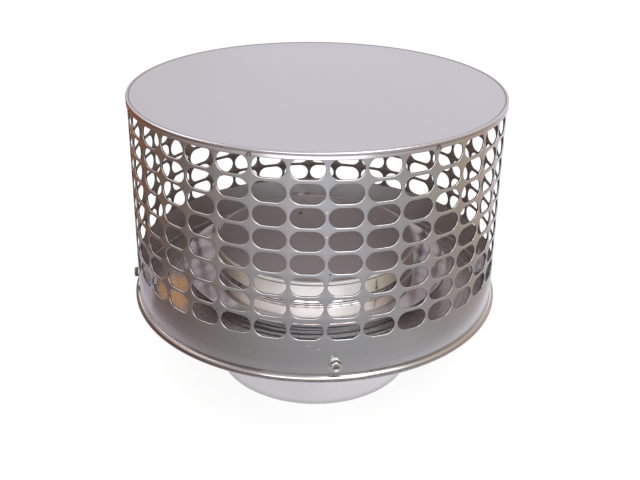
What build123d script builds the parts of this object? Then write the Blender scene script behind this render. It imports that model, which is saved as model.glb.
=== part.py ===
from build123d import *
import math
import os

# Round chimney cap in stainless sheet: a flat lid on a perforated screen, a base plate under the screen's solid
# skirt, and a flue tube through the plate with a flat baffle ring round it.
# Millimetres, +Z up. The axis of the cap is the Z axis and the lower end of the flue tube is at Z = 0.
# Angles are read from the front, -Y, towards +X.

# The sheet
SHEET = 0.6  # thickness of every sheet but the screen's
FIT = 0.1  # gap between two pieces, one slid over the other
SEAT = 0.3  # gap left where a sheet's edge stands on its seat

# Perforated screen and its solid skirt, rolled from one sheet in flats, one flat to each column of slots
SCREEN_R = 152.4  # outer radius at the corners between flats
SCREEN_SHEET = 1.2  # thickness of the perforated sheet
SKIRT_H = 28.7  # solid band under the slots
TOP_BAND_H = 3.6  # solid band over the slots
SLOT_H = 15.9  # slot height, twice the radius of its round ends
SLOT_ROWS = 8
SLOT_COLUMNS = 36
ROW_WEB = 1.75  # metal between two rows
COLUMN_WEB = 2.16  # metal between two columns, at a corner between flats
SCREEN_TURN = 2.0  # degrees from the first screw to the nearest column of slots
END_FACETS = 3  # straight edges that stand for each round end of a slot, an odd number

# Lid
LID_RIM_H = 5.5  # height of the rim that is turned down over the screen
LID_BEAD_H = 2.4  # upper part of that rim, which stands out as a bead
LID_BEAD_OUT = 0.3  # how far the bead stands out

# Base plate
PLATE_H = 70.3  # underside of the plate's rim above the tube's lower end
PLATE_RIM_H = 5.0  # height of the rim, rolled down round a wire
PLATE_RIM_W = 3.2  # width of the rim outside the skirt
PLATE_RIM_EDGE = 1.2  # rounding of the rim, as a chamfer
PLATE_HUB_H = 3.6  # upturned hub round the flue tube

# Flue tube
TUBE_R = 85.2  # outer radius
TUBE_RISE = 44.6  # top of the tube above the underside of the plate's rim
TUBE_LIP_W = 1.8  # how far the wired top edge stands out
TUBE_LIP_H = 2.6  # height of that edge

# Baffle ring
BAFFLE_W = 29.4  # how far the ring stands out from the flue tube
BAFFLE_RISE = 24.5  # its plate above the underside of the base plate's rim
BAFFLE_HUB_H = 5.0  # upturned hub round the flue tube
BAFFLE_LIP_H = 2.6  # downturned outer edge

# Angle brackets inside the skirt, and the screws that hold the skirt to them
SCREWS = 4
BRACKET_T = 1.0  # thickness of the bracket
BRACKET_W = 18.0  # width along the skirt
BRACKET_H = 15.0  # height above the base plate
BRACKET_FOOT = 12.0  # length of the foot on the base plate
SCREW_RISE = 13.9  # screw axis above the underside of the base plate's rim
SCREW_D = 4.8  # thread
HOLE_PLAY = 0.4  # screw hole over the thread
HEX_FLATS = 7.9  # head across flats
HEX_H = 3.2  # head above its flange
FLANGE_D = 10.7
FLANGE_H = 1.1
NUT_FLATS = 9.5
NUT_H = 3.8
TIP = 4.5  # thread that shows past the nut
ROUND_SIDES = 12  # straight edges that stand for each small circle, such as a thread or a screw hole

# Places that follow from those sizes
FLAT_R = SCREEN_R * math.cos(math.pi / SLOT_COLUMNS)
FLAT_IN_R = FLAT_R - SCREEN_SHEET
SLOT_W = 2 * SCREEN_R * math.sin(math.pi / SLOT_COLUMNS) - COLUMN_WEB
PLATE_Z = PLATE_H + PLATE_RIM_H
SCREEN_Z = PLATE_Z + SEAT
SCREEN_H = SKIRT_H + SLOT_ROWS * SLOT_H + (SLOT_ROWS - 1) * ROW_WEB + TOP_BAND_H
LID_Z = SCREEN_Z + SCREEN_H + SEAT + SHEET
HUB_R = TUBE_R + FIT
BAFFLE_R = TUBE_R + BAFFLE_W
SCREW_Z = PLATE_H + SCREW_RISE
BRACKET_R = math.sqrt((FLAT_IN_R - FIT) ** 2 - (BRACKET_W / 2) ** 2)


def turned(*outline):
    """Solid of revolution round Z, from a closed outline of (radius, height) points."""
    section = make_face(Polyline(*outline, close=True))
    return revolve(Plane.XZ * section, Axis.Z)


def outward(angle, radius, height):
    """Plane on the cap's side at an angle from the front, with its normal pointing away from the axis."""
    away = Vector(math.sin(math.radians(angle)), -math.cos(math.radians(angle)), 0)
    return Plane(origin=away * radius + Vector(0, 0, height), x_dir=Vector(0, 0, 1).cross(away), z_dir=away)


def small_round(diameter):
    """Small circle in a few straight edges."""
    return RegularPolygon(diameter / 2, ROUND_SIDES)


def screw_hole(angle, radius):
    """Clearance hole for one screw, through whatever lies at that radius."""
    hole = extrude(small_round(SCREW_D + HOLE_PLAY), amount=BRACKET_FOOT / 2, both=True)
    return outward(angle, radius, SCREW_Z) * hole


def screw_angles():
    return [360.0 * number / SCREWS for number in range(SCREWS)]


def lid():
    """Flat disc with a beaded rim turned down over the screen."""
    inner_r = SCREEN_R + FIT
    rim_r = inner_r + SHEET
    bead_r = rim_r + LID_BEAD_OUT
    bead_foot = LID_Z - LID_BEAD_H
    rim_foot = LID_Z - LID_RIM_H
    return turned(
        (0, LID_Z),
        (bead_r, LID_Z),
        (bead_r, bead_foot),
        (rim_r, bead_foot - LID_BEAD_OUT),
        (rim_r, rim_foot),
        (inner_r, rim_foot),
        (inner_r, LID_Z - SHEET),
        (0, LID_Z - SHEET),
    )


def slot_outline():
    """Slot lying across the screen, each round end in a few straight edges that keep its full length."""
    radius = SLOT_H / 2
    straight = SLOT_W / 2 - radius
    facet = math.pi / END_FACETS
    reach = radius / math.cos(facet / 2)
    turns = [facet * corner - math.pi / 2 for corner in range(END_FACETS + 1)]
    end = [(straight + reach * math.cos(turn), radius * math.sin(turn)) for turn in turns]
    return make_face(Polyline(*end, *[(-x, -y) for x, y in end], close=True))


def perforated_screen():
    """Rolled sheet with rows and columns of slots over a plain skirt, and the screw holes in the skirt."""
    flats = RegularPolygon(SCREEN_R, SLOT_COLUMNS) - RegularPolygon(FLAT_IN_R, SLOT_COLUMNS, major_radius=False)
    corner_turn = SCREEN_TURN - 90.0 + 180.0 / SLOT_COLUMNS
    sheet = Pos(0, 0, SCREEN_Z) * Rot(0, 0, corner_turn) * extrude(flats, amount=SCREEN_H)
    slot = extrude(slot_outline(), amount=SLOT_H / 2, both=True)
    first_row = SCREEN_Z + SKIRT_H + SLOT_H / 2
    cuts = []
    for column in range(SLOT_COLUMNS):
        angle = SCREEN_TURN + 360.0 * column / SLOT_COLUMNS
        for row in range(SLOT_ROWS):
            cuts.append(outward(angle, SCREEN_R, first_row + row * (SLOT_H + ROW_WEB)) * slot)
    cuts += [screw_hole(angle, SCREEN_R) for angle in screw_angles()]
    return sheet - cuts


def base_plate():
    """Flat plate with a hub for the tube and a rim rolled down round a wire, just outside the skirt."""
    underside = PLATE_Z - SHEET
    hub_top = PLATE_Z + PLATE_HUB_H
    roll_in = SCREEN_R + FIT
    roll_out = roll_in + PLATE_RIM_W
    return turned(
        (HUB_R, hub_top),
        (HUB_R + SHEET, hub_top),
        (HUB_R + SHEET, PLATE_Z),
        (roll_out - PLATE_RIM_EDGE, PLATE_Z),
        (roll_out, PLATE_Z - PLATE_RIM_EDGE),
        (roll_out, PLATE_H + PLATE_RIM_EDGE),
        (roll_out - PLATE_RIM_EDGE, PLATE_H),
        (roll_in, PLATE_H),
        (roll_in, underside),
        (HUB_R, underside),
    )


def flue_tube():
    """Plain tube with a wired top edge. Its lower end goes over the flue."""
    inner_r = TUBE_R - SHEET
    top = PLATE_H + TUBE_RISE
    lip_foot = top - TUBE_LIP_H
    return turned(
        (inner_r, 0),
        (TUBE_R, 0),
        (TUBE_R, lip_foot),
        (TUBE_R + TUBE_LIP_W, lip_foot),
        (TUBE_R + TUBE_LIP_W, top),
        (inner_r, top),
    )


def baffle_ring():
    """Flat ring round the tube, with an upturned hub and a downturned outer edge."""
    plate = PLATE_H + BAFFLE_RISE
    hub_top = plate + BAFFLE_HUB_H
    lip_foot = plate - BAFFLE_LIP_H
    return turned(
        (HUB_R, hub_top),
        (HUB_R + SHEET, hub_top),
        (HUB_R + SHEET, plate),
        (BAFFLE_R, plate),
        (BAFFLE_R, lip_foot),
        (BAFFLE_R - SHEET, lip_foot),
        (BAFFLE_R - SHEET, plate - SHEET),
        (HUB_R, plate - SHEET),
    )


def skirt_bracket(angle):
    """Angle bracket that stands on the base plate against the inside of the skirt."""
    section = Polyline(
        (0, 0),
        (0, BRACKET_H),
        (-BRACKET_T, BRACKET_H),
        (-BRACKET_T, BRACKET_T),
        (-BRACKET_FOOT, BRACKET_T),
        (-BRACKET_FOOT, 0),
        close=True,
    )
    strip = extrude(Plane.XZ * make_face(section), amount=BRACKET_W / 2, both=True)
    return Rot(0, 0, angle - 90.0) * Pos(BRACKET_R, 0, PLATE_Z) * strip - screw_hole(angle, BRACKET_R)


def hexagon(flats):
    return RegularPolygon(flats / 2, 6, major_radius=False)


def skirt_screw(angle):
    """Screw with a hexagon head on a flange, driven inwards through skirt and bracket."""
    head = extrude(small_round(FLANGE_D), amount=FLANGE_H)
    head += extrude(hexagon(HEX_FLATS), amount=FLANGE_H + HEX_H)
    tip_r = BRACKET_R - BRACKET_T - NUT_H - TIP
    thread = extrude(small_round(SCREW_D), amount=tip_r - SCREEN_R)
    return outward(angle, SCREEN_R, SCREW_Z) * (head + thread)


def skirt_nut(angle):
    """Hexagon nut against the inside of its bracket."""
    nut = extrude(hexagon(NUT_FLATS) - small_round(SCREW_D + 2 * FIT), amount=-NUT_H)
    return outward(angle, BRACKET_R - BRACKET_T, SCREW_Z) * nut


def write_parts():
    nodes = {
        "lid": lid(),
        "perforated_screen": perforated_screen(),
        "base_plate": base_plate(),
        "flue_tube": flue_tube(),
        "baffle_ring": baffle_ring(),
    }
    for number, angle in enumerate(screw_angles(), 1):
        nodes[f"skirt_bracket_{number}"] = skirt_bracket(angle)
        nodes[f"skirt_screw_{number}"] = skirt_screw(angle)
        nodes[f"skirt_nut_{number}"] = skirt_nut(angle)
    os.makedirs("parts", exist_ok=True)
    for name, shape in nodes.items():
        export_step(shape.solid(), f"parts/{name}.step")


write_parts()
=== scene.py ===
import math

import bpy
from mathutils import Matrix, Vector


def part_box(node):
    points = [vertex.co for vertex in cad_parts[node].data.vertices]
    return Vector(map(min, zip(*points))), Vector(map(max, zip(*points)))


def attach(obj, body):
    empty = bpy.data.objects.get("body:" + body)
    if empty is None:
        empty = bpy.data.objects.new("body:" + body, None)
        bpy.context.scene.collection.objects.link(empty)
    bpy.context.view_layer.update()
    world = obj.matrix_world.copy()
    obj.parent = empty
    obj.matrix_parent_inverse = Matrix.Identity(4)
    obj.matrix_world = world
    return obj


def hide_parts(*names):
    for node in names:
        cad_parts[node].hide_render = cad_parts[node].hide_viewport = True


# Dressed model of the chimney cap. Sizes are in millimetres until a mesh is made, in the frame of the solids:
# Z is the cap's axis, Z = 0 the lower end of the flue tube, and angles run from the front, -Y, towards +X.
# Floor, lamps and camera are in metres.

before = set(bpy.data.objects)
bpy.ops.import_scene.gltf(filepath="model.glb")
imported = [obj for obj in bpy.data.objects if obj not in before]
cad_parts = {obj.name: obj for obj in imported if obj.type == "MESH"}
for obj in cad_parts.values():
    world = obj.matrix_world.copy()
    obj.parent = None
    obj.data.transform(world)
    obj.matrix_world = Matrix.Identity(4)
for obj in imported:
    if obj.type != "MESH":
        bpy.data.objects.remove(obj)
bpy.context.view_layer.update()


def box_mm(node):
    """Lowest and highest corner of a solid, in millimetres."""
    return [corner * 1000 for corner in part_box(node)]


def levels(node):
    """Foot and top of a solid."""
    lowest, highest = box_mm(node)
    return lowest.z, highest.z


def outer_radius(node):
    """Largest radius of a turned solid."""
    return box_mm(node)[1].x


# Sheet
SHEET = 0.6
FIT = 0.1

# Perforated screen, its skirt and its slots
SCREEN_Z, SCREEN_TOP = levels("perforated_screen")
SCREEN_R = 152.4
SCREEN_SHEET = 1.2
SCREEN_IN_R = SCREEN_R - SCREEN_SHEET
SCREEN_TURN = 2.0
SKIRT_H = 28.7
SLOTS_Z = SCREEN_Z + SKIRT_H
SLOT_H = 15.9
SLOT_STRAIGHT = 4.6
ROWS = 8
COLUMNS = 36
ROW_WEB = 1.75
PITCH_U = 2 * math.pi * SCREEN_R / COLUMNS
PITCH_V = SLOT_H + ROW_WEB

# Lid
LID_FOOT, LID_Z = levels("lid")
LID_IN_R = SCREEN_R + FIT
LID_FACE_Z = LID_Z - 0.4
BEAD_R = LID_IN_R - 0.35
BEAD = 1.15

# Base plate
RIM_Z, PLATE_HUB_TOP = levels("base_plate")
RIM_R = outer_radius("base_plate")
PLATE_Z = RIM_Z + 5.0
PLATE_FOLD_R = SCREEN_R + FIT

# Flue tube
TUBE_TOP = levels("flue_tube")[1]
TUBE_R = 85.2
TUBE_IN_R = TUBE_R - SHEET
TUBE_LIP_R = outer_radius("flue_tube")
TUBE_LIP_Z = TUBE_TOP - 2.6
TUBE_MIDDLE = 40.0
HUB_R = TUBE_R + FIT
HUB_OUT_R = HUB_R + SHEET

# Baffle ring
BAFFLE_LIP_Z, BAFFLE_HUB_TOP = levels("baffle_ring")
BAFFLE_R = outer_radius("baffle_ring")
BAFFLE_Z = BAFFLE_HUB_TOP - 5.0

# Screws and nuts. Number 1 is at the front, so its places are read along -Y.
SCREW_Z = sum(levels("skirt_screw_1")) / 2
SCREW_ANGLES = (0, 90, 180, 270)
TIP_R = -box_mm("skirt_screw_1")[1].y
NUT_R = -box_mm("skirt_nut_1")[0].y
FLANGE_R = 5.35
FLANGE_H = 1.1
HEAD_APOTHEM = 3.95
HEAD_CORNER = 4.56
HEAD_TOP = 4.3
THREAD_R = 2.4
THREAD_DEPTH = 0.28
THREAD_PITCH = 0.8
THREAD_RINGS = 120
NUT_H = 3.8
NUT_APOTHEM = 4.75
NUT_CORNER = 5.48
NUT_BORE = 2.5
BRACKET_EDGE = 0.15

# Direction of the photograph's camera from the axis, in radians
TURN = math.radians(-5.9)


# Mesh helpers

AROUND = 288  # segments of a turned piece


def make_mesh(name, verts, faces, material, sharp=35.0):
    """Object that rides on the cap, smooth apart from edges sharper than an angle in degrees."""
    mesh = bpy.data.meshes.new(name)
    mesh.from_pydata([(x / 1000, y / 1000, z / 1000) for x, y, z in verts], [], faces)
    mesh.update()
    mesh.validate()
    mesh.polygons.foreach_set("use_smooth", [True] * len(mesh.polygons))
    mesh.set_sharp_from_angle(angle=math.radians(sharp))
    obj = bpy.data.objects.new(name, mesh)
    bpy.context.scene.collection.objects.link(obj)
    obj.data.materials.append(material)
    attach(obj, "root")
    return obj


def rounded(points, steps):
    """Outline of (r, z) or (r, z, radius) points, each radius turned into an arc."""
    out = []
    count = len(points)
    for i, point in enumerate(points):
        here = Vector(point[:2])
        if len(point) == 2:
            out.append((here.x, here.y))
            continue
        radius = point[2]
        before = (Vector(points[i - 1][:2]) - here).normalized()
        after = (Vector(points[(i + 1) % count][:2]) - here).normalized()
        half = before.angle(after) / 2
        cut = radius / math.tan(half)
        centre = here + (before + after).normalized() * (radius / math.sin(half))
        start = here + before * cut - centre
        end = here + after * cut - centre
        turn = start.angle_signed(end)
        for step in range(steps + 1):
            angle = -turn * step / steps
            c, s = math.cos(angle), math.sin(angle)
            out.append((centre.x + start.x * c - start.y * s, centre.y + start.x * s + start.y * c))
    return out


def lathe(name, outline, material):
    """Closed outline of (r, z) points turned round Z. A point on the axis becomes one vertex."""
    verts, rings, on_axis = [], [], []
    for r, z in outline:
        on_axis.append(r == 0)
        if r == 0:
            rings.append([len(verts)] * AROUND)
            verts.append((0, 0, z))
            continue
        rings.append(list(range(len(verts), len(verts) + AROUND)))
        for k in range(AROUND):
            a = 2 * math.pi * k / AROUND
            verts.append((r * math.sin(a), -r * math.cos(a), z))
    faces = []
    for i, ring in enumerate(rings):
        following = (i + 1) % len(rings)
        if on_axis[i] and on_axis[following]:
            continue
        other = rings[following]
        for k in range(AROUND):
            n = (k + 1) % AROUND
            corners = [ring[k], other[k], other[n], ring[n]]
            faces.append([corner for j, corner in enumerate(corners) if corner != corners[j - 1]])
    return make_mesh(name, verts, faces, material)


def on_side(angle, radius, height):
    """Matrix of a place on the cap's side, with its local Z pointing away from the axis."""
    a = math.radians(angle)
    away = Vector((math.sin(a), -math.cos(a), 0))
    up = Vector((0, 0, 1))
    turn = Matrix((up.cross(away), up, away)).transposed().to_4x4()
    return Matrix.Translation(away * radius + up * height) @ turn


def stack(name, rings, material, place, sharp=35.0):
    """Rings of (x, y, z) points, all of one length, skinned in order, with a cap at each end."""
    count = len(rings[0])
    verts = [place @ Vector(point) for ring in rings for point in ring]
    faces = []
    for i in range(len(rings) - 1):
        for k in range(count):
            n = (k + 1) % count
            faces.append([i * count + k, i * count + n, (i + 1) * count + n, (i + 1) * count + k])
    faces.append(list(range(count))[::-1])
    faces.append([(len(rings) - 1) * count + k for k in range(count)])
    return make_mesh(name, verts, faces, material, sharp)


def ring_points(radius_at, z, count=96):
    """Closed ring round the local Z, with its radius given by a function of the angle."""
    points = []
    for k in range(count):
        a = 2 * math.pi * k / count
        r = radius_at(a)
        points.append((r * math.cos(a), r * math.sin(a), z))
    return points


def round_radius(radius):
    return lambda a: radius


def hex_radius(apothem, limit):
    """Hexagon whose corners are turned off at a radius."""
    def radius_at(a):
        turn = (a + math.pi / 6) % (math.pi / 3) - math.pi / 6
        return min(apothem / math.cos(turn), limit)
    return radius_at


def thread_radius(z, taper):
    """Thread whose crest moves round by one turn for each pitch of height."""
    def radius_at(a):
        phase = (z / THREAD_PITCH - a / (2 * math.pi)) % 1.0
        return THREAD_R * taper - THREAD_DEPTH * abs(2 * phase - 1)
    return radius_at


# Node helpers

class Nodes:
    """Node tree of a material or a world. A value may be a number, a colour or a socket."""

    def __init__(self, owner):
        owner.use_nodes = True
        self.tree = owner.node_tree
        self.tree.nodes.clear()

    def add(self, kind, **values):
        node = self.tree.nodes.new(kind)
        for key, value in values.items():
            setattr(node, key, value)
        return node

    def feed(self, socket, value):
        if isinstance(value, bpy.types.NodeSocket):
            self.tree.links.new(value, socket)
        elif isinstance(value, tuple):
            socket.default_value = (*value, 1.0)
        else:
            socket.default_value = value

    def result(self, kind, **inputs):
        """First output of a new node whose inputs are set by name, such as Base_Color."""
        node = self.add(kind)
        for name, value in inputs.items():
            self.feed(node.inputs[name.replace("_", " ")], value)
        return node.outputs[0]

    def finish(self, kind, surface):
        """Output node of a material or a world."""
        self.feed(self.add(kind).inputs["Surface"], surface)

    def either(self, fac, a, b):
        """Shader a where the factor is 0 and shader b where it is 1."""
        node = self.add("ShaderNodeMixShader")
        for socket, value in zip(node.inputs, (fac, a, b)):
            self.feed(socket, value)
        return node.outputs[0]

    def math(self, operation, *values):
        node = self.add("ShaderNodeMath", operation=operation)
        for socket, value in zip(node.inputs, values):
            self.feed(socket, value)
        return node.outputs[0]

    def product(self, *values):
        result = values[0]
        for value in values[1:]:
            result = self.math("MULTIPLY", result, value)
        return result

    def distance(self, a, b):
        return self.math("SQRT", self.math("ADD", self.product(a, a), self.product(b, b)))

    def span(self, value, low, high, to_low=0.0, to_high=1.0):
        """Value carried from one range to another and held at its ends."""
        node = self.add("ShaderNodeMapRange", clamp=True)
        for socket, given in zip(node.inputs, (value, low, high, to_low, to_high)):
            self.feed(socket, given)
        return node.outputs["Result"]

    def fall(self, value, low, high):
        """1 up to the low value, falling to 0 at the high one."""
        return self.span(value, low, high, 1.0, 0.0)

    def band(self, value, low, high, edge):
        """1 between two values, fading to 0 over an edge inside them."""
        return self.product(self.span(value, low, low + edge), self.fall(value, high - edge, high))

    def noise(self, vector, scale, detail, rough):
        node = self.add("ShaderNodeTexNoise")
        self.feed(node.inputs["Vector"], vector)
        node.inputs["Scale"].default_value = scale
        node.inputs["Detail"].default_value = detail
        node.inputs["Roughness"].default_value = rough
        return node.outputs["Fac"]

    def ramp(self, value, stops):
        node = self.add("ShaderNodeValToRGB")
        while len(node.color_ramp.elements) < len(stops):
            node.color_ramp.elements.new(0.5)
        for element, (position, colour) in zip(node.color_ramp.elements, stops):
            element.position = position
            element.color = (*colour, 1.0)
        self.feed(node.inputs["Fac"], value)
        return node.outputs["Color"]

    def round_ramp(self, angle, stops):
        """Colour by direction from the axis, with stops in degrees from the camera's towards the right."""
        turned = self.math("SUBTRACT", angle, TURN)
        share = self.math("ADD", self.product(turned, 1 / (2 * math.pi)), 0.5)
        return self.ramp(share, [(degrees / 360 + 0.5, colour) for degrees, colour in stops])

    def mix(self, fac, a, b, blend="MIX"):
        node = self.add("ShaderNodeMix", data_type="RGBA", blend_type=blend)
        self.feed(node.inputs["Factor"], fac)
        for name, value in (("A", a), ("B", b)):
            self.feed([s for s in node.inputs if s.name == name and s.type == "RGBA"][0], value)
        return [s for s in node.outputs if s.type == "RGBA"][0]

    def vector(self, x, y, z):
        node = self.add("ShaderNodeCombineXYZ")
        for socket, value in zip(node.inputs, (x, y, z)):
            self.feed(socket, value)
        return node.outputs[0]

    def place(self, source="Object"):
        """Position in millimetres as x, y, z, then the angle round the axis in radians and the radius."""
        coords = self.add("ShaderNodeTexCoord")
        split = self.add("ShaderNodeSeparateXYZ")
        self.feed(split.inputs[0], coords.outputs[source])
        x, y, z = (self.product(split.outputs[i], 1000.0) for i in range(3))
        angle = self.math("ARCTAN2", x, self.product(y, -1.0))
        return x, y, z, angle, self.distance(x, y)


class Steel(Nodes):
    """Stainless sheet: rolled or brushed grain, cloudy tone, slow waves that bend its reflections, and marks,
    painted light and shade among them.

    streak varies the tone along the grain and mottle in clouds, both as shares of it. scratch varies the
    roughness, and wave is the strength of the waves."""

    GRAIN_ARC_R = 150.0
    FINE_BUMP = {"Strength": 0.04, "Distance": 0.0001}
    WAVE_BUMP = 0.0012

    def __init__(self, name, colour, grain, rough, scratch, streak, mottle, wave, marks, metal=1.0):
        self.material = bpy.data.materials.new(name)
        super().__init__(self.material)
        self.x, self.y, self.z, self.angle, self.radius = self.place()
        position = self.vector(self.x, self.y, self.z)
        lines = self.noise(self.grain(grain), 1.0, 4.0, 0.55)
        clouds = self.noise(position, 0.018, 3.0, 0.5)
        specks = self.noise(position, 0.35, 4.0, 0.6)
        cloudy = self.ramp(clouds, [(0.3, tuple(c * (1 - mottle) for c in colour)),
                                    (0.7, tuple(c * (1 + mottle) for c in colour))])
        streaks = self.span(lines, 0.3, 0.7, 1 - streak, 1 + streak)
        grey = self.result("ShaderNodeCombineColor", Red=streaks, Green=streaks, Blue=streaks)
        self.tone = self.mix(1.0, cloudy, grey, "MULTIPLY")
        self.rough = self.math("ADD", self.span(lines, 0.3, 0.7, rough - scratch, rough + scratch),
                               self.span(specks, 0.35, 0.65, -scratch / 2, scratch / 2))
        self.metal = metal
        marks(self)
        fine = self.result("ShaderNodeBump", Height=lines, **self.FINE_BUMP)
        waves = self.result("ShaderNodeBump", Height=self.noise(position, 0.02, 1.0, 0.4), Normal=fine,
                            Strength=wave, Distance=self.WAVE_BUMP)
        surface = self.result("ShaderNodeBsdfPrincipled", Base_Color=self.tone, Roughness=self.rough,
                              Metallic=self.metal, Normal=waves)
        self.finish("ShaderNodeOutputMaterial", surface)

    def grain(self, grain):
        """Position squeezed along the grain, so that noise comes out as lines."""
        arc = self.product(self.angle, self.GRAIN_ARC_R)
        stretch = {
            "round": ((arc, 0.008), (self.z, 0.9), (self.radius, 0.3)),
            "upright": ((arc, 0.2), (self.z, 0.008), (self.radius, 0.3)),
            "flat": ((self.x, 0.02), (self.y, 1.0), (self.z, 0.3)),
        }
        return self.vector(*(self.product(value, scale) for value, scale in stretch[grain]))

    def paint(self, colour, *masks):
        self.tone = self.mix(self.product(*masks), self.tone, colour)

    def roughen(self, amount, *masks):
        self.rough = self.math("ADD", self.rough, self.product(*masks, amount))

    def dull(self, amount, *masks):
        """Make the surface less of a mirror."""
        self.metal = self.math("SUBTRACT", self.metal, self.product(*masks, amount))

    def aside(self, near, far):
        """0 towards the photograph's camera, rising to 1 between two angles in radians on either side."""
        return self.span(self.math("ABSOLUTE", self.math("SUBTRACT", self.angle, TURN)), near, far)

    def spot(self, at_angle, at_z, size, edge, radius, squash=1.0):
        """1 inside a round spot at an angle in degrees and a height, fading to 0 over its edge."""
        along = self.product(self.math("SUBTRACT", self.angle, math.radians(at_angle)), radius)
        up = self.product(self.math("SUBTRACT", self.z, at_z), squash)
        return self.fall(self.distance(along, up), size, size + edge)

    def from_nearest(self, first, step, radius, height):
        """Distance on a wall from the nearest of a row of places, one every step round the axis."""
        turns = math.ceil(2 * math.pi / step)
        shifted = self.math("ADD", self.angle, step / 2 - first + turns * step)
        within = self.math("SUBTRACT", self.math("MODULO", shifted, step), step / 2)
        return self.distance(self.product(within, radius), self.math("SUBTRACT", self.z, height))


# Colours of the marks and of the painted light and shade, in linear red, green and blue
WHITE = (1.0, 1.0, 1.0)
GROOVE_BROWN = (0.20, 0.125, 0.08)
CREASE_SHADE = (0.20, 0.17, 0.15)
WELD_HEAT = (0.15, 0.075, 0.035)
CUT_EDGE_SHADE = (0.03, 0.024, 0.022)
WEB_BACK_SHADE = (0.24, 0.185, 0.16)
FOOT_GAP_SHADE = (0.07, 0.075, 0.095)
BURR = (0.03, 0.02, 0.02)
LIP_SHADE = (0.08, 0.07, 0.065)
STAIN = (0.62, 0.50, 0.28)
RUST = (0.16, 0.07, 0.02)
TUBE_HEAT = (0.10, 0.05, 0.035)
RIM_SHADE_LINE = (0.20, 0.12, 0.10)
RIM_FLECK = (0.06, 0.05, 0.05)
RIM_LEFT_REFLECTION = (0.18, 0.12, 0.10)
RIM_RIGHT_REFLECTION = (0.44, 0.35, 0.28)
RIM_FLAT_HIGHLIGHT = (0.85, 0.80, 0.72)
SEAM_HIGHLIGHT = (1.0, 0.93, 0.84)
WARM_REFLECTION = (0.80, 0.43, 0.19)
BRACKET = (0.92, 0.93, 0.96)
HUB_LINE = (0.06, 0.055, 0.055)
UNDERSIDE = (0.95, 0.94, 0.95)
NUT = (0.95, 0.94, 0.93)
HEAD_SIDE_SHADE = (0.06, 0.055, 0.055)
HEAD_DISH_SHADE = (0.22, 0.17, 0.15)


def lid_marks_and_shade(s):
    """A brown line in the groove inside the bead, painted shade in the crease under it, and the heat marks of
    the spot welds.
    """
    # A brown line painted in the groove inside the bead.
    groove = s.product(s.span(s.radius, BEAD_R - 2.05, BEAD_R - 1.45),
                       s.fall(s.radius, BEAD_R - 0.85, BEAD_R - 0.45))
    s.paint(GROOVE_BROWN, groove, s.span(s.z, LID_Z - 2.25, LID_Z - 1.25), 0.85)
    # Painted shade: a dark band at the top of the rim's side, in the crease under the bead.
    side = s.product(s.span(s.radius, LID_IN_R + 0.1, LID_IN_R + 0.3),
                     s.fall(s.z, LID_Z - 2.35, LID_Z - 1.95))
    s.paint(CREASE_SHADE, s.span(s.z, LID_Z - 3.15, LID_Z - 2.75), side, 0.6)
    s.roughen(-0.12, s.span(s.radius, BEAD_R - 0.95, BEAD_R - 0.55))
    every_fifth_web = math.radians(5 * 360 / COLUMNS)
    weld = s.from_nearest(math.radians(-173.0), every_fifth_web, LID_IN_R + 0.5, LID_FOOT + 1.15)
    s.paint(WELD_HEAT, s.span(weld, 0.3, 0.9), s.fall(weld, 1.5, 2.4), side, 0.85)


def screen_marks_and_light(s):
    """Painted shade on the slots' cut faces and a dull inside, painted light round the skirt's inside,
    painted shade at its foot, and small painted glints and a dark burr on the front web and the skirt.
    """
    outside = s.span(s.radius, SCREEN_R - 0.2, SCREEN_R - 0.1)
    inside = s.fall(s.radius, SCREEN_IN_R + 0.015, SCREEN_IN_R + 0.035)
    over_skirt = s.span(s.z, SLOTS_Z - 0.8, SLOTS_Z + 0.2)
    under_slots = s.fall(s.z, SLOTS_Z - 0.8, SLOTS_Z + 0.2)
    # Painted shade: the slots' cut faces, within the sheet, are painted almost black.
    within_sheet = s.product(s.span(s.radius, SCREEN_IN_R + 0.02, SCREEN_IN_R + 0.07),
                             s.fall(s.radius, SCREEN_R - 0.4, SCREEN_R - 0.26))
    s.paint(CUT_EDGE_SHADE, within_sheet, over_skirt, 0.92)
    # Painted shade: the inside of the screen above the skirt is painted dark brown.
    s.paint(WEB_BACK_SHADE, inside, over_skirt, 0.9)
    skirt = s.product(inside, under_slots)
    # Painted light: the inside of the skirt is pale towards the front and the back and brown at the sides, as
    # its light and reflections fall.
    behind = s.aside(2.3, 2.9)
    wall = s.mix(s.aside(0.5, 0.9), (0.92, 0.91, 0.93), (0.48, 0.42, 0.40))
    s.paint(s.mix(behind, wall, (0.92, 0.93, 0.98)), skirt)
    s.roughen(0.25, inside)
    s.dull(0.45, inside)
    s.dull(0.35, skirt, behind)
    # Painted shade in the gap at the skirt's foot, darker towards the left.
    foot = s.product(s.fall(s.z, SCREEN_Z + 0.7, SCREEN_Z + 1.2), outside)
    s.paint(FOOT_GAP_SHADE, foot, s.span(s.angle, 0.1, 0.5, 0.85, 0.35))
    # Painted glints: small white spots on the front web and the skirt.
    for angle, height, size in ((-3.0, 129.3, 0.5), (-3.0, 110.8, 0.5), (-4.6, 21.7, 0.35),
                                (-7.3, 24.4, 0.25), (-1.0, 15.4, 0.6)):
        s.paint(WHITE, s.spot(angle, SCREEN_Z + height, size, 0.4, SCREEN_R), outside)
    s.paint(BURR, s.spot(-2.0, SCREEN_Z + 82.1, 0.35, 0.5, SCREEN_R), outside)


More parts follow.
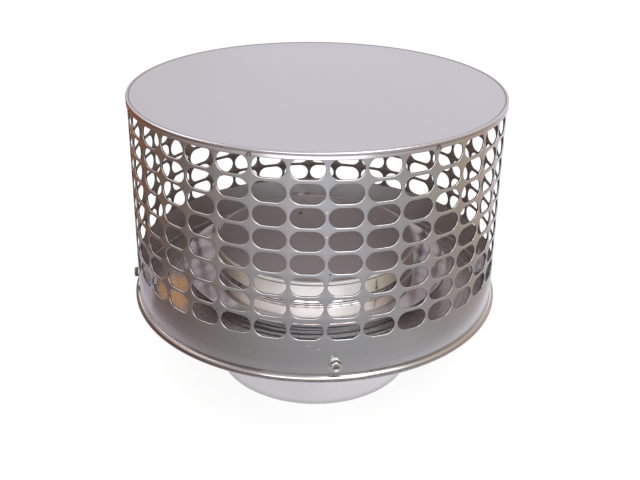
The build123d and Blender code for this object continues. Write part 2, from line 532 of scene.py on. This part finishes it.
def tube_marks_and_light(s):
    """A dull inside with the heat mark of a spot weld, and a wall with painted light round it, a shaded lip
    and a rust drip.
    """
    inside = s.fall(s.radius, TUBE_IN_R + 0.15, TUBE_IN_R + 0.35)
    outside = s.span(s.radius, TUBE_R - 0.2, TUBE_R - 0.1)
    s.paint(s.mix(s.span(s.z, 15.0, 85.0), (0.72, 0.67, 0.69), (0.52, 0.465, 0.455)), inside, 0.8)
    s.roughen(0.22, inside)
    s.dull(0.35, inside)
    # Painted light: the wall above the plate is pale towards the front, then tan and dark brown round the
    # sides, as its reflections fall.
    upper = s.product(outside, s.span(s.z, PLATE_Z - 0.3, PLATE_Z + 0.7))
    wall = s.mix(s.aside(0.45, 0.85), (0.97, 0.96, 0.95), (0.64, 0.59, 0.48))
    s.paint(s.mix(s.aside(0.78, 1.08), wall, (0.30, 0.25, 0.22)), upper)
    s.paint(LIP_SHADE, s.band(s.z, TUBE_LIP_Z - 1.6, TUBE_LIP_Z, 0.3), outside, 0.85)
    s.roughen(0.20, upper)
    s.dull(0.55, upper)
    drip_z = TUBE_TOP - 12.9
    s.paint(STAIN, s.spot(29.5, drip_z, 1.5, 5.0, TUBE_R, 0.7), outside, 0.4)
    for angle, height, size, squash in ((29.4, 4.0, 0.25, 0.22), (29.6, -0.4, 0.9, 0.7)):
        s.paint(RUST, s.spot(angle, drip_z + height, size, 0.8, TUBE_R, squash), outside, 0.85)
    weld_angle, weld_z = -175.8, TUBE_TOP - 18.4
    middle = s.product(s.spot(weld_angle, weld_z, 0.2, 0.6, TUBE_IN_R), 0.6)
    ring = s.math("SUBTRACT", s.spot(weld_angle, weld_z, 1.2, 0.7, TUBE_IN_R), middle)
    s.paint(TUBE_HEAT, ring, inside, 0.8)


def rim_marks_and_light(s):
    """Painted shade, reflections and highlights on the rolled rim, dark flecks under it, painted reflections
    and a highlighted seam in the plate, paler brackets.
    """
    # Painted shade: a brown line round the middle of the rim's curl.
    s.paint(RIM_SHADE_LINE, s.band(s.z, RIM_Z + 2.6, RIM_Z + 3.6, 0.3),
            s.span(s.radius, RIM_R - 2.3, RIM_R - 1.8), 0.7)
    fleck = s.span(s.noise(s.vector(s.x, s.y, s.z), 1.1, 3.0, 0.7), 0.38, 0.55)
    under = s.product(s.span(s.z, RIM_Z + 0.9, RIM_Z + 1.2), s.fall(s.z, RIM_Z + 2.0, RIM_Z + 2.4),
                      s.span(s.radius, PLATE_FOLD_R - 0.5, PLATE_FOLD_R + 0.5))
    s.paint(RIM_FLECK, fleck, under, 0.8)
    within = s.fall(s.radius, PLATE_FOLD_R - 0.9, PLATE_FOLD_R - 0.3)
    # Painted reflection: light and dark rings on the plate, white and near black towards the front, fading to
    # an even brown at the sides.
    away = s.aside(0.35, 0.75)
    turned = s.vector(s.product(s.angle, 0.5), 0.0, s.product(s.radius, 0.30))
    light = s.mix(away, (1.0, 0.99, 1.0), (0.40, 0.35, 0.34))
    dark = s.mix(away, (0.20, 0.20, 0.23), (0.36, 0.31, 0.30))
    s.paint(s.mix(s.span(s.noise(turned, 1.0, 0.0, 0.5), 0.52, 0.56), light, dark), within)
    # Painted highlight: a cream line on the plate along the foot of the screen's inside.
    seam = s.product(s.band(s.radius, PLATE_FOLD_R - 2.4, PLATE_FOLD_R - 1.2, 0.2),
                     s.span(s.z, PLATE_Z - 0.3, PLATE_Z - 0.1))
    s.paint(SEAM_HIGHLIGHT, seam)
    s.dull(0.4, seam)
    # Painted reflection: the rim's curl is dark brown on the left side and tan on the right.
    curl = s.product(s.span(s.radius, RIM_R - 2.2, RIM_R - 1.6),
                     s.fall(s.math("ABSOLUTE", s.angle), 1.9, 2.9))
    s.paint(RIM_LEFT_REFLECTION, curl, s.span(s.angle, -0.85, -0.25, 0.92, 0.0))
    s.paint(RIM_RIGHT_REFLECTION, curl, s.span(s.angle, 0.25, 0.75, 0.0, 0.75))
    # Painted highlight: a cream line on the flat top of the rim.
    s.paint(RIM_FLAT_HIGHLIGHT, s.band(s.radius, PLATE_FOLD_R, PLATE_FOLD_R + 1.1, 0.1),
            s.span(s.z, PLATE_Z - 0.4, PLATE_Z - 0.3))
    # Painted reflection: a warm orange patch on the plate, on the left.
    patch = s.product(s.band(s.angle, -1.68, -1.10, 0.14), s.band(s.radius, 108.0, 139.0, 5.0))
    s.paint(WARM_REFLECTION, patch, s.fall(s.z, PLATE_Z + 0.3, PLATE_Z + 0.7), 0.9)
    s.paint(BRACKET, within, s.span(s.z, PLATE_Z + 0.3, PLATE_Z + 1.1))
    s.roughen(0.12, within)
    s.dull(s.span(away, 0.0, 1.0, 0.75, 0.5), within)


def baffle_marks_and_shade(s):
    """Bright at the front, with painted shade at the sides and the back, and two dark lines round the hub."""
    # Painted shade: darker tone at the sides and the back.
    s.paint((0.37, 0.31, 0.32), s.aside(0.45, 0.85))
    hub = s.fall(s.radius, HUB_OUT_R + 0.1, HUB_OUT_R + 0.5)
    for low in (BAFFLE_HUB_TOP - 1.8, BAFFLE_HUB_TOP - 4.4):
        s.paint(HUB_LINE, s.band(s.z, low, low + 1.0, 0.2), hub)
    under = s.product(s.fall(s.z, BAFFLE_Z - 0.55, BAFFLE_Z - 0.35),
                      s.span(s.radius, HUB_OUT_R + 1.1, HUB_OUT_R + 2.1),
                      s.fall(s.radius, BAFFLE_R - 0.7, BAFFLE_R - 0.6))
    s.paint(UNDERSIDE, under)
    s.dull(0.5, under)


def screw_marks_and_shade(s):
    """Bright nuts, and heads with painted shade on their sides and in the brown dish in their tops."""
    within = s.fall(s.radius, SCREEN_R - 1.6, SCREEN_R - 1.0)
    s.paint(NUT, within)
    s.dull(0.6, within)
    gap = s.from_nearest(0.0, math.pi / 2, SCREEN_R + 3.6, SCREW_Z)
    sides = s.product(s.span(s.radius, SCREEN_R + 1.3, SCREEN_R + 1.5),
                      s.fall(s.radius, SCREEN_R + 3.6, SCREEN_R + 3.8))
    # Painted shade on the heads' sides and in their dishes.
    s.paint(HEAD_SIDE_SHADE, sides, s.span(gap, 3.2, 3.6), 0.85)
    s.paint(HEAD_DISH_SHADE, s.span(s.radius, SCREEN_R + 3.2, SCREEN_R + 3.4), s.fall(gap, 2.0, 2.8), 0.75)


mat_lid = Steel("lid_sheet_mat", (0.595, 0.575, 0.61), grain="flat", rough=0.34, scratch=0.02,
                streak=0.008, mottle=0.006, wave=0.1, marks=lid_marks_and_shade).material
mat_screen = Steel("screen_sheet_mat", (0.60, 0.59, 0.60), grain="round", rough=0.20, scratch=0.03,
                   streak=0.02, mottle=0.03, wave=0.35, marks=screen_marks_and_light).material
mat_plate = Steel("plate_sheet_mat", (0.60, 0.585, 0.58), grain="round", rough=0.16, scratch=0.03,
                  streak=0.03, mottle=0.05, wave=0.35, marks=rim_marks_and_light).material
mat_tube = Steel("tube_sheet_mat", (0.72, 0.705, 0.70), grain="upright", rough=0.16, scratch=0.03,
                 streak=0.015, mottle=0.05, wave=0.45, marks=tube_marks_and_light).material
mat_baffle = Steel("baffle_sheet_mat", (0.93, 0.90, 0.90), grain="round", rough=0.14, scratch=0.03,
                   streak=0.0, mottle=0.0, wave=0.5, marks=baffle_marks_and_shade, metal=0.85).material
mat_screw = Steel("fastener_steel_mat", (0.60, 0.575, 0.56), grain="flat", rough=0.18, scratch=0.04,
                  streak=0.03, mottle=0.08, wave=0.05, marks=screw_marks_and_shade).material


# Lid: a face that dips inside the bead, the bead, and the rim turned down over the screen

bead_turns = [math.radians(12 * k) for k in range(-1, 12)]
bead = [(BEAD_R + BEAD * math.sin(turn), LID_Z - BEAD + BEAD * math.cos(turn)) for turn in bead_turns]
face = [(r, LID_FACE_Z) for r in (0, 40, 80, 120, BEAD_R - 4.15)]
groove = [(BEAD_R - 1.95, LID_FACE_Z + 0.01), (BEAD_R - 1.25, LID_FACE_Z + 0.08),
          (BEAD_R - 0.75, LID_FACE_Z + 0.23)]
rim = rounded([bead[-1], (LID_IN_R + 0.25, LID_FOOT + 3.0, 0.25), (LID_IN_R + 0.85, LID_FOOT + 0.35, 0.3),
               (LID_IN_R + 0.4, LID_FOOT, 0.2), (LID_IN_R, LID_FOOT, 0.15),
               (LID_IN_R, LID_FACE_Z - SHEET, 0.3), (0, LID_FACE_Z - SHEET)], 4)
lid = lathe("lid_dressed", face + groove + bead + rim[1:], mat_lid)
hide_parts("lid")


# Perforated screen: one cell of the sheet round each slot, wrapped on the cylinder. u runs round it, v up it.

SLOT_ARC_STEPS = 8
CELL_STEPS = 4
SKIRT_STEP = 7.0
WELD_STEPS_PER_MM = 200

# Growth of the slot's edge and its depth below the outside, from the rolled edge to the inside
SLOT_STEPS = [(0.12, 0.0), (-0.08, 0.03), (-0.27, 0.11), (-0.40, 0.24), (-0.45, 0.38), (-0.46, 1.14),
              (-0.40, SCREEN_SHEET)]


def mirrored(quarter):
    """Loop of (u, v) points from its upper right quarter, which runs from the v axis to the u axis."""
    right_low = [(u, -v) for u, v in quarter[-2::-1]]
    left_low = [(-u, -v) for u, v in quarter[1:]]
    left_high = [(-u, v) for u, v in quarter[-2:0:-1]]
    return quarter + right_low + left_low + left_high


def slot_loop(grow):
    """Edge of a slot, grown by that much."""
    radius = SLOT_H / 2 + grow
    quarter = [(0.0, radius)]
    for k in range(SLOT_ARC_STEPS + 1):
        turn = math.pi / 2 * k / SLOT_ARC_STEPS
        quarter.append((SLOT_STRAIGHT + radius * math.sin(turn), radius * math.cos(turn)))
    return mirrored(quarter)


def cell_loop():
    """Edge of the cell round a slot, with as many points as the slot's edge."""
    half_u, half_v = PITCH_U / 2, PITCH_V / 2
    quarter = [(0.0, half_v)]
    for k in range(CELL_STEPS + 1):
        quarter.append((SLOT_STRAIGHT + (half_u - SLOT_STRAIGHT) * k / CELL_STEPS, half_v))
    for k in range(1, CELL_STEPS + 1):
        quarter.append((half_u, half_v * (CELL_STEPS - k) / CELL_STEPS))
    return mirrored(quarter)


def screen_mesh():
    verts, faces, index = [], [], {}
    around = 2 * math.pi * SCREEN_R
    steps_around = round(around * WELD_STEPS_PER_MM)

    def vert(u, height, radius):
        """Vertex at a place on the sheet, the same one for every face that meets there."""
        place = [round(value * WELD_STEPS_PER_MM) for value in (u % around, height, radius)]
        key = (place[0] % steps_around, place[1], place[2])
        if key not in index:
            index[key] = len(verts)
            a = u / SCREEN_R
            verts.append((radius * math.sin(a), -radius * math.cos(a), height))
        return index[key]

    def patch(u0, u1, z0, z1, radius0, radius1, flip):
        face = [vert(u0, z0, radius0), vert(u1, z0, radius0), vert(u1, z1, radius1), vert(u0, z1, radius1)]
        faces.append(face[::-1] if flip else face)

    layers = [(slot_loop(grow), SCREEN_R - depth) for grow, depth in SLOT_STEPS]
    edge = cell_loop()
    count = len(edge)
    top = sorted(u for u, v in edge if v == PITCH_V / 2)
    lowest = SLOTS_Z - ROW_WEB / 2
    highest = lowest + ROWS * PITCH_V
    skirt_levels = [SCREEN_Z + SKIRT_STEP * k for k in range(4)] + [lowest]
    plain_bands = list(zip(skirt_levels, skirt_levels[1:])) + [(highest, SCREEN_TOP)]
    for column in range(COLUMNS):
        mid_u = math.radians(SCREEN_TURN) * SCREEN_R + column * PITCH_U
        for row in range(ROWS):
            mid_v = lowest + (row + 0.5) * PITCH_V
            loops = [[vert(mid_u + u, mid_v + v, SCREEN_R) for u, v in edge]]
            loops += [[vert(mid_u + u, mid_v + v, radius) for u, v in loop] for loop, radius in layers]
            loops.append([vert(mid_u + u, mid_v + v, SCREEN_IN_R) for u, v in edge])
            for a, b in zip(loops, loops[1:]):
                for k in range(count):
                    n = (k + 1) % count
                    faces.append([a[k], b[k], b[n], a[n]])
        for u0, u1 in zip(top, top[1:]):
            u0, u1 = mid_u + u0, mid_u + u1
            for z0, z1 in plain_bands:
                patch(u0, u1, z0, z1, SCREEN_R, SCREEN_R, False)
                patch(u0, u1, z0, z1, SCREEN_IN_R, SCREEN_IN_R, True)
            patch(u0, u1, SCREEN_Z, SCREEN_Z, SCREEN_R, SCREEN_IN_R, True)
            patch(u0, u1, SCREEN_TOP, SCREEN_TOP, SCREEN_R, SCREEN_IN_R, False)
    return verts, faces


screen_verts, screen_faces = screen_mesh()
screen = make_mesh("screen_dressed", screen_verts, screen_faces, mat_screen, sharp=50.0)
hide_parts("perforated_screen")


# Base plate: the hub, the plate, the fold under the skirt and the rolled rim

outline = rounded([(HUB_R, PLATE_HUB_TOP, 0.25), (HUB_OUT_R, PLATE_HUB_TOP, 0.25), (HUB_OUT_R, PLATE_Z, 0.9),
                   (PLATE_FOLD_R - 0.05, PLATE_Z, 0.1), (PLATE_FOLD_R, PLATE_Z - 0.2),
                   (PLATE_FOLD_R + 0.1, PLATE_Z - 0.05), (RIM_R, PLATE_Z, 2.2), (RIM_R, RIM_Z, 1.4),
                   (PLATE_FOLD_R + 0.1, RIM_Z, 0.9), (PLATE_FOLD_R - 0.5, RIM_Z + 2.2),
                   (PLATE_FOLD_R - 0.6, PLATE_Z - SHEET, 0.5), (HUB_R, PLATE_Z - SHEET, 0.9),
                   (HUB_R, PLATE_Z + 0.7)], 8)
plate = lathe("base_plate_dressed", outline, mat_plate)
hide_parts("base_plate")


# Flue tube with its wired top edge

outline = rounded([(TUBE_IN_R, 0, 0.2), (TUBE_R, 0, 0.2), (TUBE_R, TUBE_MIDDLE), (TUBE_R, TUBE_LIP_Z, 0.3),
                   (TUBE_LIP_R, TUBE_LIP_Z, 1.1), (TUBE_LIP_R, TUBE_TOP, 1.25), (TUBE_IN_R, TUBE_TOP, 1.0),
                   (TUBE_IN_R, TUBE_MIDDLE)], 6)
tube = lathe("flue_tube_dressed", outline, mat_tube)
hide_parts("flue_tube")


# Baffle ring with its hub and its turned-down edge

outline = rounded([(HUB_R, BAFFLE_HUB_TOP, 0.2), (HUB_OUT_R, BAFFLE_HUB_TOP, 0.2), (HUB_OUT_R, BAFFLE_Z, 0.8),
                   (BAFFLE_R, BAFFLE_Z, 0.9), (BAFFLE_R, BAFFLE_LIP_Z, 0.2),
                   (BAFFLE_R - SHEET, BAFFLE_LIP_Z, 0.2), (BAFFLE_R - SHEET, BAFFLE_Z - SHEET, 0.3),
                   (HUB_R, BAFFLE_Z - SHEET, 1.4)], 6)
baffle = lathe("baffle_dressed", outline, mat_baffle)
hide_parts("baffle_ring")


# Screws, nuts and brackets

def add_screw(number, angle):
    """Head with a flange, a chamfer and a dish, and a thread that tapers at its tip."""
    place = on_side(angle, SCREEN_R, SCREW_Z)
    flange = rounded([(FLANGE_R, 0.0), (FLANGE_R, FLANGE_H, 0.35), (3.6, 1.35)], 3)
    prism = [(HEAD_CORNER, 1.45), (HEAD_CORNER, 3.55), (4.35, 3.85), (4.1, 4.1), (3.75, 4.28),
             (3.5, HEAD_TOP)]
    dish = [(3.1, 4.26), (2.6, 4.0), (2.2, 3.75), (1.2, 3.65), (0.3, 3.62)]
    rings = [ring_points(round_radius(r), z) for r, z in flange]
    rings += [ring_points(hex_radius(HEAD_APOTHEM, limit), z) for limit, z in prism]
    rings += [ring_points(round_radius(r), z) for r, z in dish]
    head = stack(f"skirt_screw_head_{number}", rings, mat_screw, place)
    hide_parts(f"skirt_screw_{number}")
    length = SCREEN_R - TIP_R
    rings = []
    for step in range(THREAD_RINGS + 1):
        from_tip = length * step / THREAD_RINGS
        z = from_tip - length
        taper = min(1.0, 0.80 + from_tip * 0.25)
        rings.append(ring_points(thread_radius(z, taper), z, 36))
    thread = stack(f"skirt_screw_thread_{number}", rings, mat_screw, place, sharp=60.0)
    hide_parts(f"skirt_screw_{number}")


def add_nut(number, angle):
    """Nut with its corners turned off at both faces."""
    prism = [(4.7, -NUT_H), (5.1, 0.2 - NUT_H), (NUT_CORNER, 0.55 - NUT_H), (NUT_CORNER, -0.5), (5.1, -0.15),
             (4.7, 0.0)]
    rings = [ring_points(round_radius(r), -NUT_H) for r in (NUT_BORE, NUT_BORE + 0.4)]
    rings += [ring_points(hex_radius(NUT_APOTHEM, limit), z) for limit, z in prism]
    rings.append(ring_points(round_radius(NUT_BORE), 0.0))
    place = on_side(angle, NUT_R, SCREW_Z)
    nut = stack(f"skirt_nut_dressed_{number}", rings, mat_screw, place)
    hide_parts(f"skirt_nut_{number}")


for number, angle in enumerate(SCREW_ANGLES, 1):
    add_screw(number, angle)
    add_nut(number, angle)

for name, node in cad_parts.items():
    if name.startswith("skirt_bracket"):
        node.data.materials.clear()
        node.data.materials.append(mat_plate)
        bevel = node.modifiers.new("edge", "BEVEL")
        bevel.width = BRACKET_EDGE / 1000
        bevel.segments = 2


# Floor, white to the camera and plain to diffuse light. To the steel it stands for the photograph's room.

FLOOR_HALF = 6.0
FLOOR_DROP = 0.0002

floor_mesh = bpy.data.meshes.new("floor")
floor_mesh.from_pydata([(x * FLOOR_HALF, y * FLOOR_HALF, 0) for x, y in ((-1, -1), (1, -1), (1, 1), (-1, 1))],
                       [], [(0, 1, 2, 3)])
floor = bpy.data.objects.new("floor", floor_mesh)
bpy.context.scene.collection.objects.link(floor)
floor.matrix_world = Matrix.Translation((0, 0, -FLOOR_DROP))

floor_mat = bpy.data.materials.new("floor_mat")
n = Nodes(floor_mat)
path = n.add("ShaderNodeLightPath")
x, _, _, angle, radius = n.place()
white = n.result("ShaderNodeEmission", Strength=0.84)
paper = n.result("ShaderNodeBsdfDiffuse", Color=(0.22, 0.22, 0.22))
seen = n.add("ShaderNodeAddShader")
n.feed(seen.inputs[0], white)
n.feed(seen.inputs[1], paper)
# Painted reflection: the tones below glow to glossy rays only, as the room that the steel reflects.
far = n.round_ramp(angle, [
    (-180, (0.48, 0.42, 0.41)), (-130, (0.31, 0.12, 0.053)), (-105, (0.25, 0.135, 0.09)),
    (-78, (0.235, 0.175, 0.145)), (-55, (0.335, 0.295, 0.27)), (-35, (0.46, 0.45, 0.44)),
    (-10, (0.64, 0.63, 0.66)), (5, (0.68, 0.68, 0.74)), (20, (0.60, 0.60, 0.62)), (40, (0.50, 0.49, 0.48)),
    (60, (0.50, 0.47, 0.43)), (78, (0.51, 0.44, 0.34)), (105, (0.63, 0.50, 0.40)), (125, (0.85, 0.80, 0.82)),
    (140, (0.92, 0.90, 0.97)), (180, (0.48, 0.42, 0.41))])
near = n.round_ramp(angle, [
    (-180, (0.42, 0.37, 0.36)), (-100, (0.22, 0.15, 0.12)), (-68, (0.21, 0.16, 0.15)),
    (-48, (0.255, 0.23, 0.21)), (-20, (0.35, 0.34, 0.34)), (0, (0.41, 0.405, 0.415)),
    (20, (0.44, 0.44, 0.44)), (42, (0.46, 0.46, 0.455)), (68, (0.42, 0.38, 0.37)),
    (100, (0.50, 0.44, 0.40)), (130, (0.80, 0.78, 0.80)), (180, (0.42, 0.37, 0.36))])
board = n.mix(n.span(x, -250.0, 150.0), (0.64, 0.60, 0.64), (0.93, 0.92, 1.0))
tint = n.mix(n.span(radius, 300.0, 480.0), near, far)
patch = n.product(n.band(angle, -2.75, -1.70, 0.06), n.fall(radius, 320.0, 350.0))
tint = n.mix(patch, tint, (0.50, 0.44, 0.49))
tint = n.mix(n.span(radius, 246.0, 256.0), board, tint)
tint = n.mix(n.span(radius, 80.0, 90.0), (0.36, 0.33, 0.345), tint)
room = n.result("ShaderNodeEmission", Color=tint, Strength=1.0)
plain = n.result("ShaderNodeBsdfDiffuse", Color=(0.7, 0.7, 0.7))
to_camera = n.math("MAXIMUM", path.outputs["Is Camera Ray"], path.outputs["Is Transmission Ray"])
unseen = n.either(path.outputs["Is Glossy Ray"], plain, room)
n.finish("ShaderNodeOutputMaterial", n.either(to_camera, unseen, seen.outputs[0]))
floor.data.materials.append(floor_mat)


# Lamps

def area(name, power, width, height, place, target, colour=(1, 1, 1)):
    lamp = bpy.data.lights.new(name, "AREA")
    lamp.energy = power
    lamp.shape = "RECTANGLE"
    lamp.size = width
    lamp.size_y = height
    lamp.color = colour
    obj = bpy.data.objects.new(name, lamp)
    bpy.context.scene.collection.objects.link(obj)
    obj.location = place
    obj.rotation_euler = (Vector(target) - Vector(place)).to_track_quat("-Z", "Y").to_euler()


area("key", 9.0, 0.9, 0.9, (0.5, -0.7, 1.5), (0, 0, 0.15))
area("fill", 4.0, 0.9, 0.9, (-1.1, 0.3, 1.2), (0, 0, 0.15))
area("front", 3.5, 1.0, 0.75, (-0.09, -0.90, 0.50), (0, 0, 0.18), (1.0, 0.985, 0.98))


# World, white to the camera. Its light has the tones of the photograph's room, low and high.

PALE = (0.93, 0.92, 0.96)

world = bpy.data.worlds.new("studio")
bpy.context.scene.world = world
n = Nodes(world)
path = n.add("ShaderNodeLightPath")
_, _, z, angle, _ = n.place("Generated")
high = n.round_ramp(angle, [
    (-180, PALE), (-125, PALE), (-95, (0.78, 0.72, 0.70)), (-55, (0.78, 0.72, 0.70)),
    (-20, (0.90, 0.87, 0.88)), (20, (0.90, 0.87, 0.88)), (55, (0.86, 0.80, 0.73)), (95, (0.86, 0.80, 0.73)),
    (125, PALE), (180, PALE)])
low = n.round_ramp(angle, [
    (-180, PALE), (-165, (0.55, 0.40, 0.30)), (-125, (0.42, 0.27, 0.17)), (-100, (0.75, 0.62, 0.48)),
    (-80, (1.0, 0.95, 0.84)), (-40, (1.0, 0.96, 0.88)), (-15, (0.92, 0.90, 0.90)), (20, (0.92, 0.90, 0.88)),
    (50, (0.98, 0.92, 0.80)), (90, (0.88, 0.80, 0.68)), (125, PALE), (180, PALE)])
light = n.result("ShaderNodeBackground", Color=n.mix(n.span(z, 100.0, 300.0), low, high), Strength=0.95)
white = n.result("ShaderNodeBackground", Color=WHITE, Strength=1.0)
to_camera = n.math("MAXIMUM", path.outputs["Is Camera Ray"], path.outputs["Is Transmission Ray"])
n.finish("ShaderNodeOutputWorld", n.either(to_camera, light, white))


# Camera, fitted to the rims, the slots and the screw of the photograph

PHOTO_WIDTH_PX = 640.0
FOCAL_PX = 880.8
SENSOR = 36.0
SHIFT_Y = -0.10938
PITCH = 0.380969
YAW = 0.004390
ROLL = 0.014543
CAMERA_IN_FRONT = 0.69069
CAMERA_HEIGHT = 0.45147

camera = bpy.data.cameras.new("camera")
camera.sensor_width = SENSOR
camera.lens = FOCAL_PX / PHOTO_WIDTH_PX * SENSOR
camera.shift_y = SHIFT_Y
camera.clip_start = 0.01
camera.clip_end = 50.0
cam = bpy.data.objects.new("camera", camera)
bpy.context.scene.collection.objects.link(cam)
forward = Vector((math.sin(YAW) * math.cos(PITCH), math.cos(YAW) * math.cos(PITCH), -math.sin(PITCH)))
right = Vector((math.cos(YAW), -math.sin(YAW), 0))
up = right.cross(forward)
level = right * math.cos(ROLL) + up * math.sin(ROLL)
above = up * math.cos(ROLL) - right * math.sin(ROLL)
basis = Matrix((level, above, -forward)).transposed().to_4x4()
stand = Matrix.Translation((0, -CAMERA_IN_FRONT, CAMERA_HEIGHT))
cam.matrix_world = Matrix.Rotation(TURN, 4, "Z") @ stand @ basis
bpy.context.scene.camera = cam
bpy.context.scene.view_settings.view_transform = "Standard"
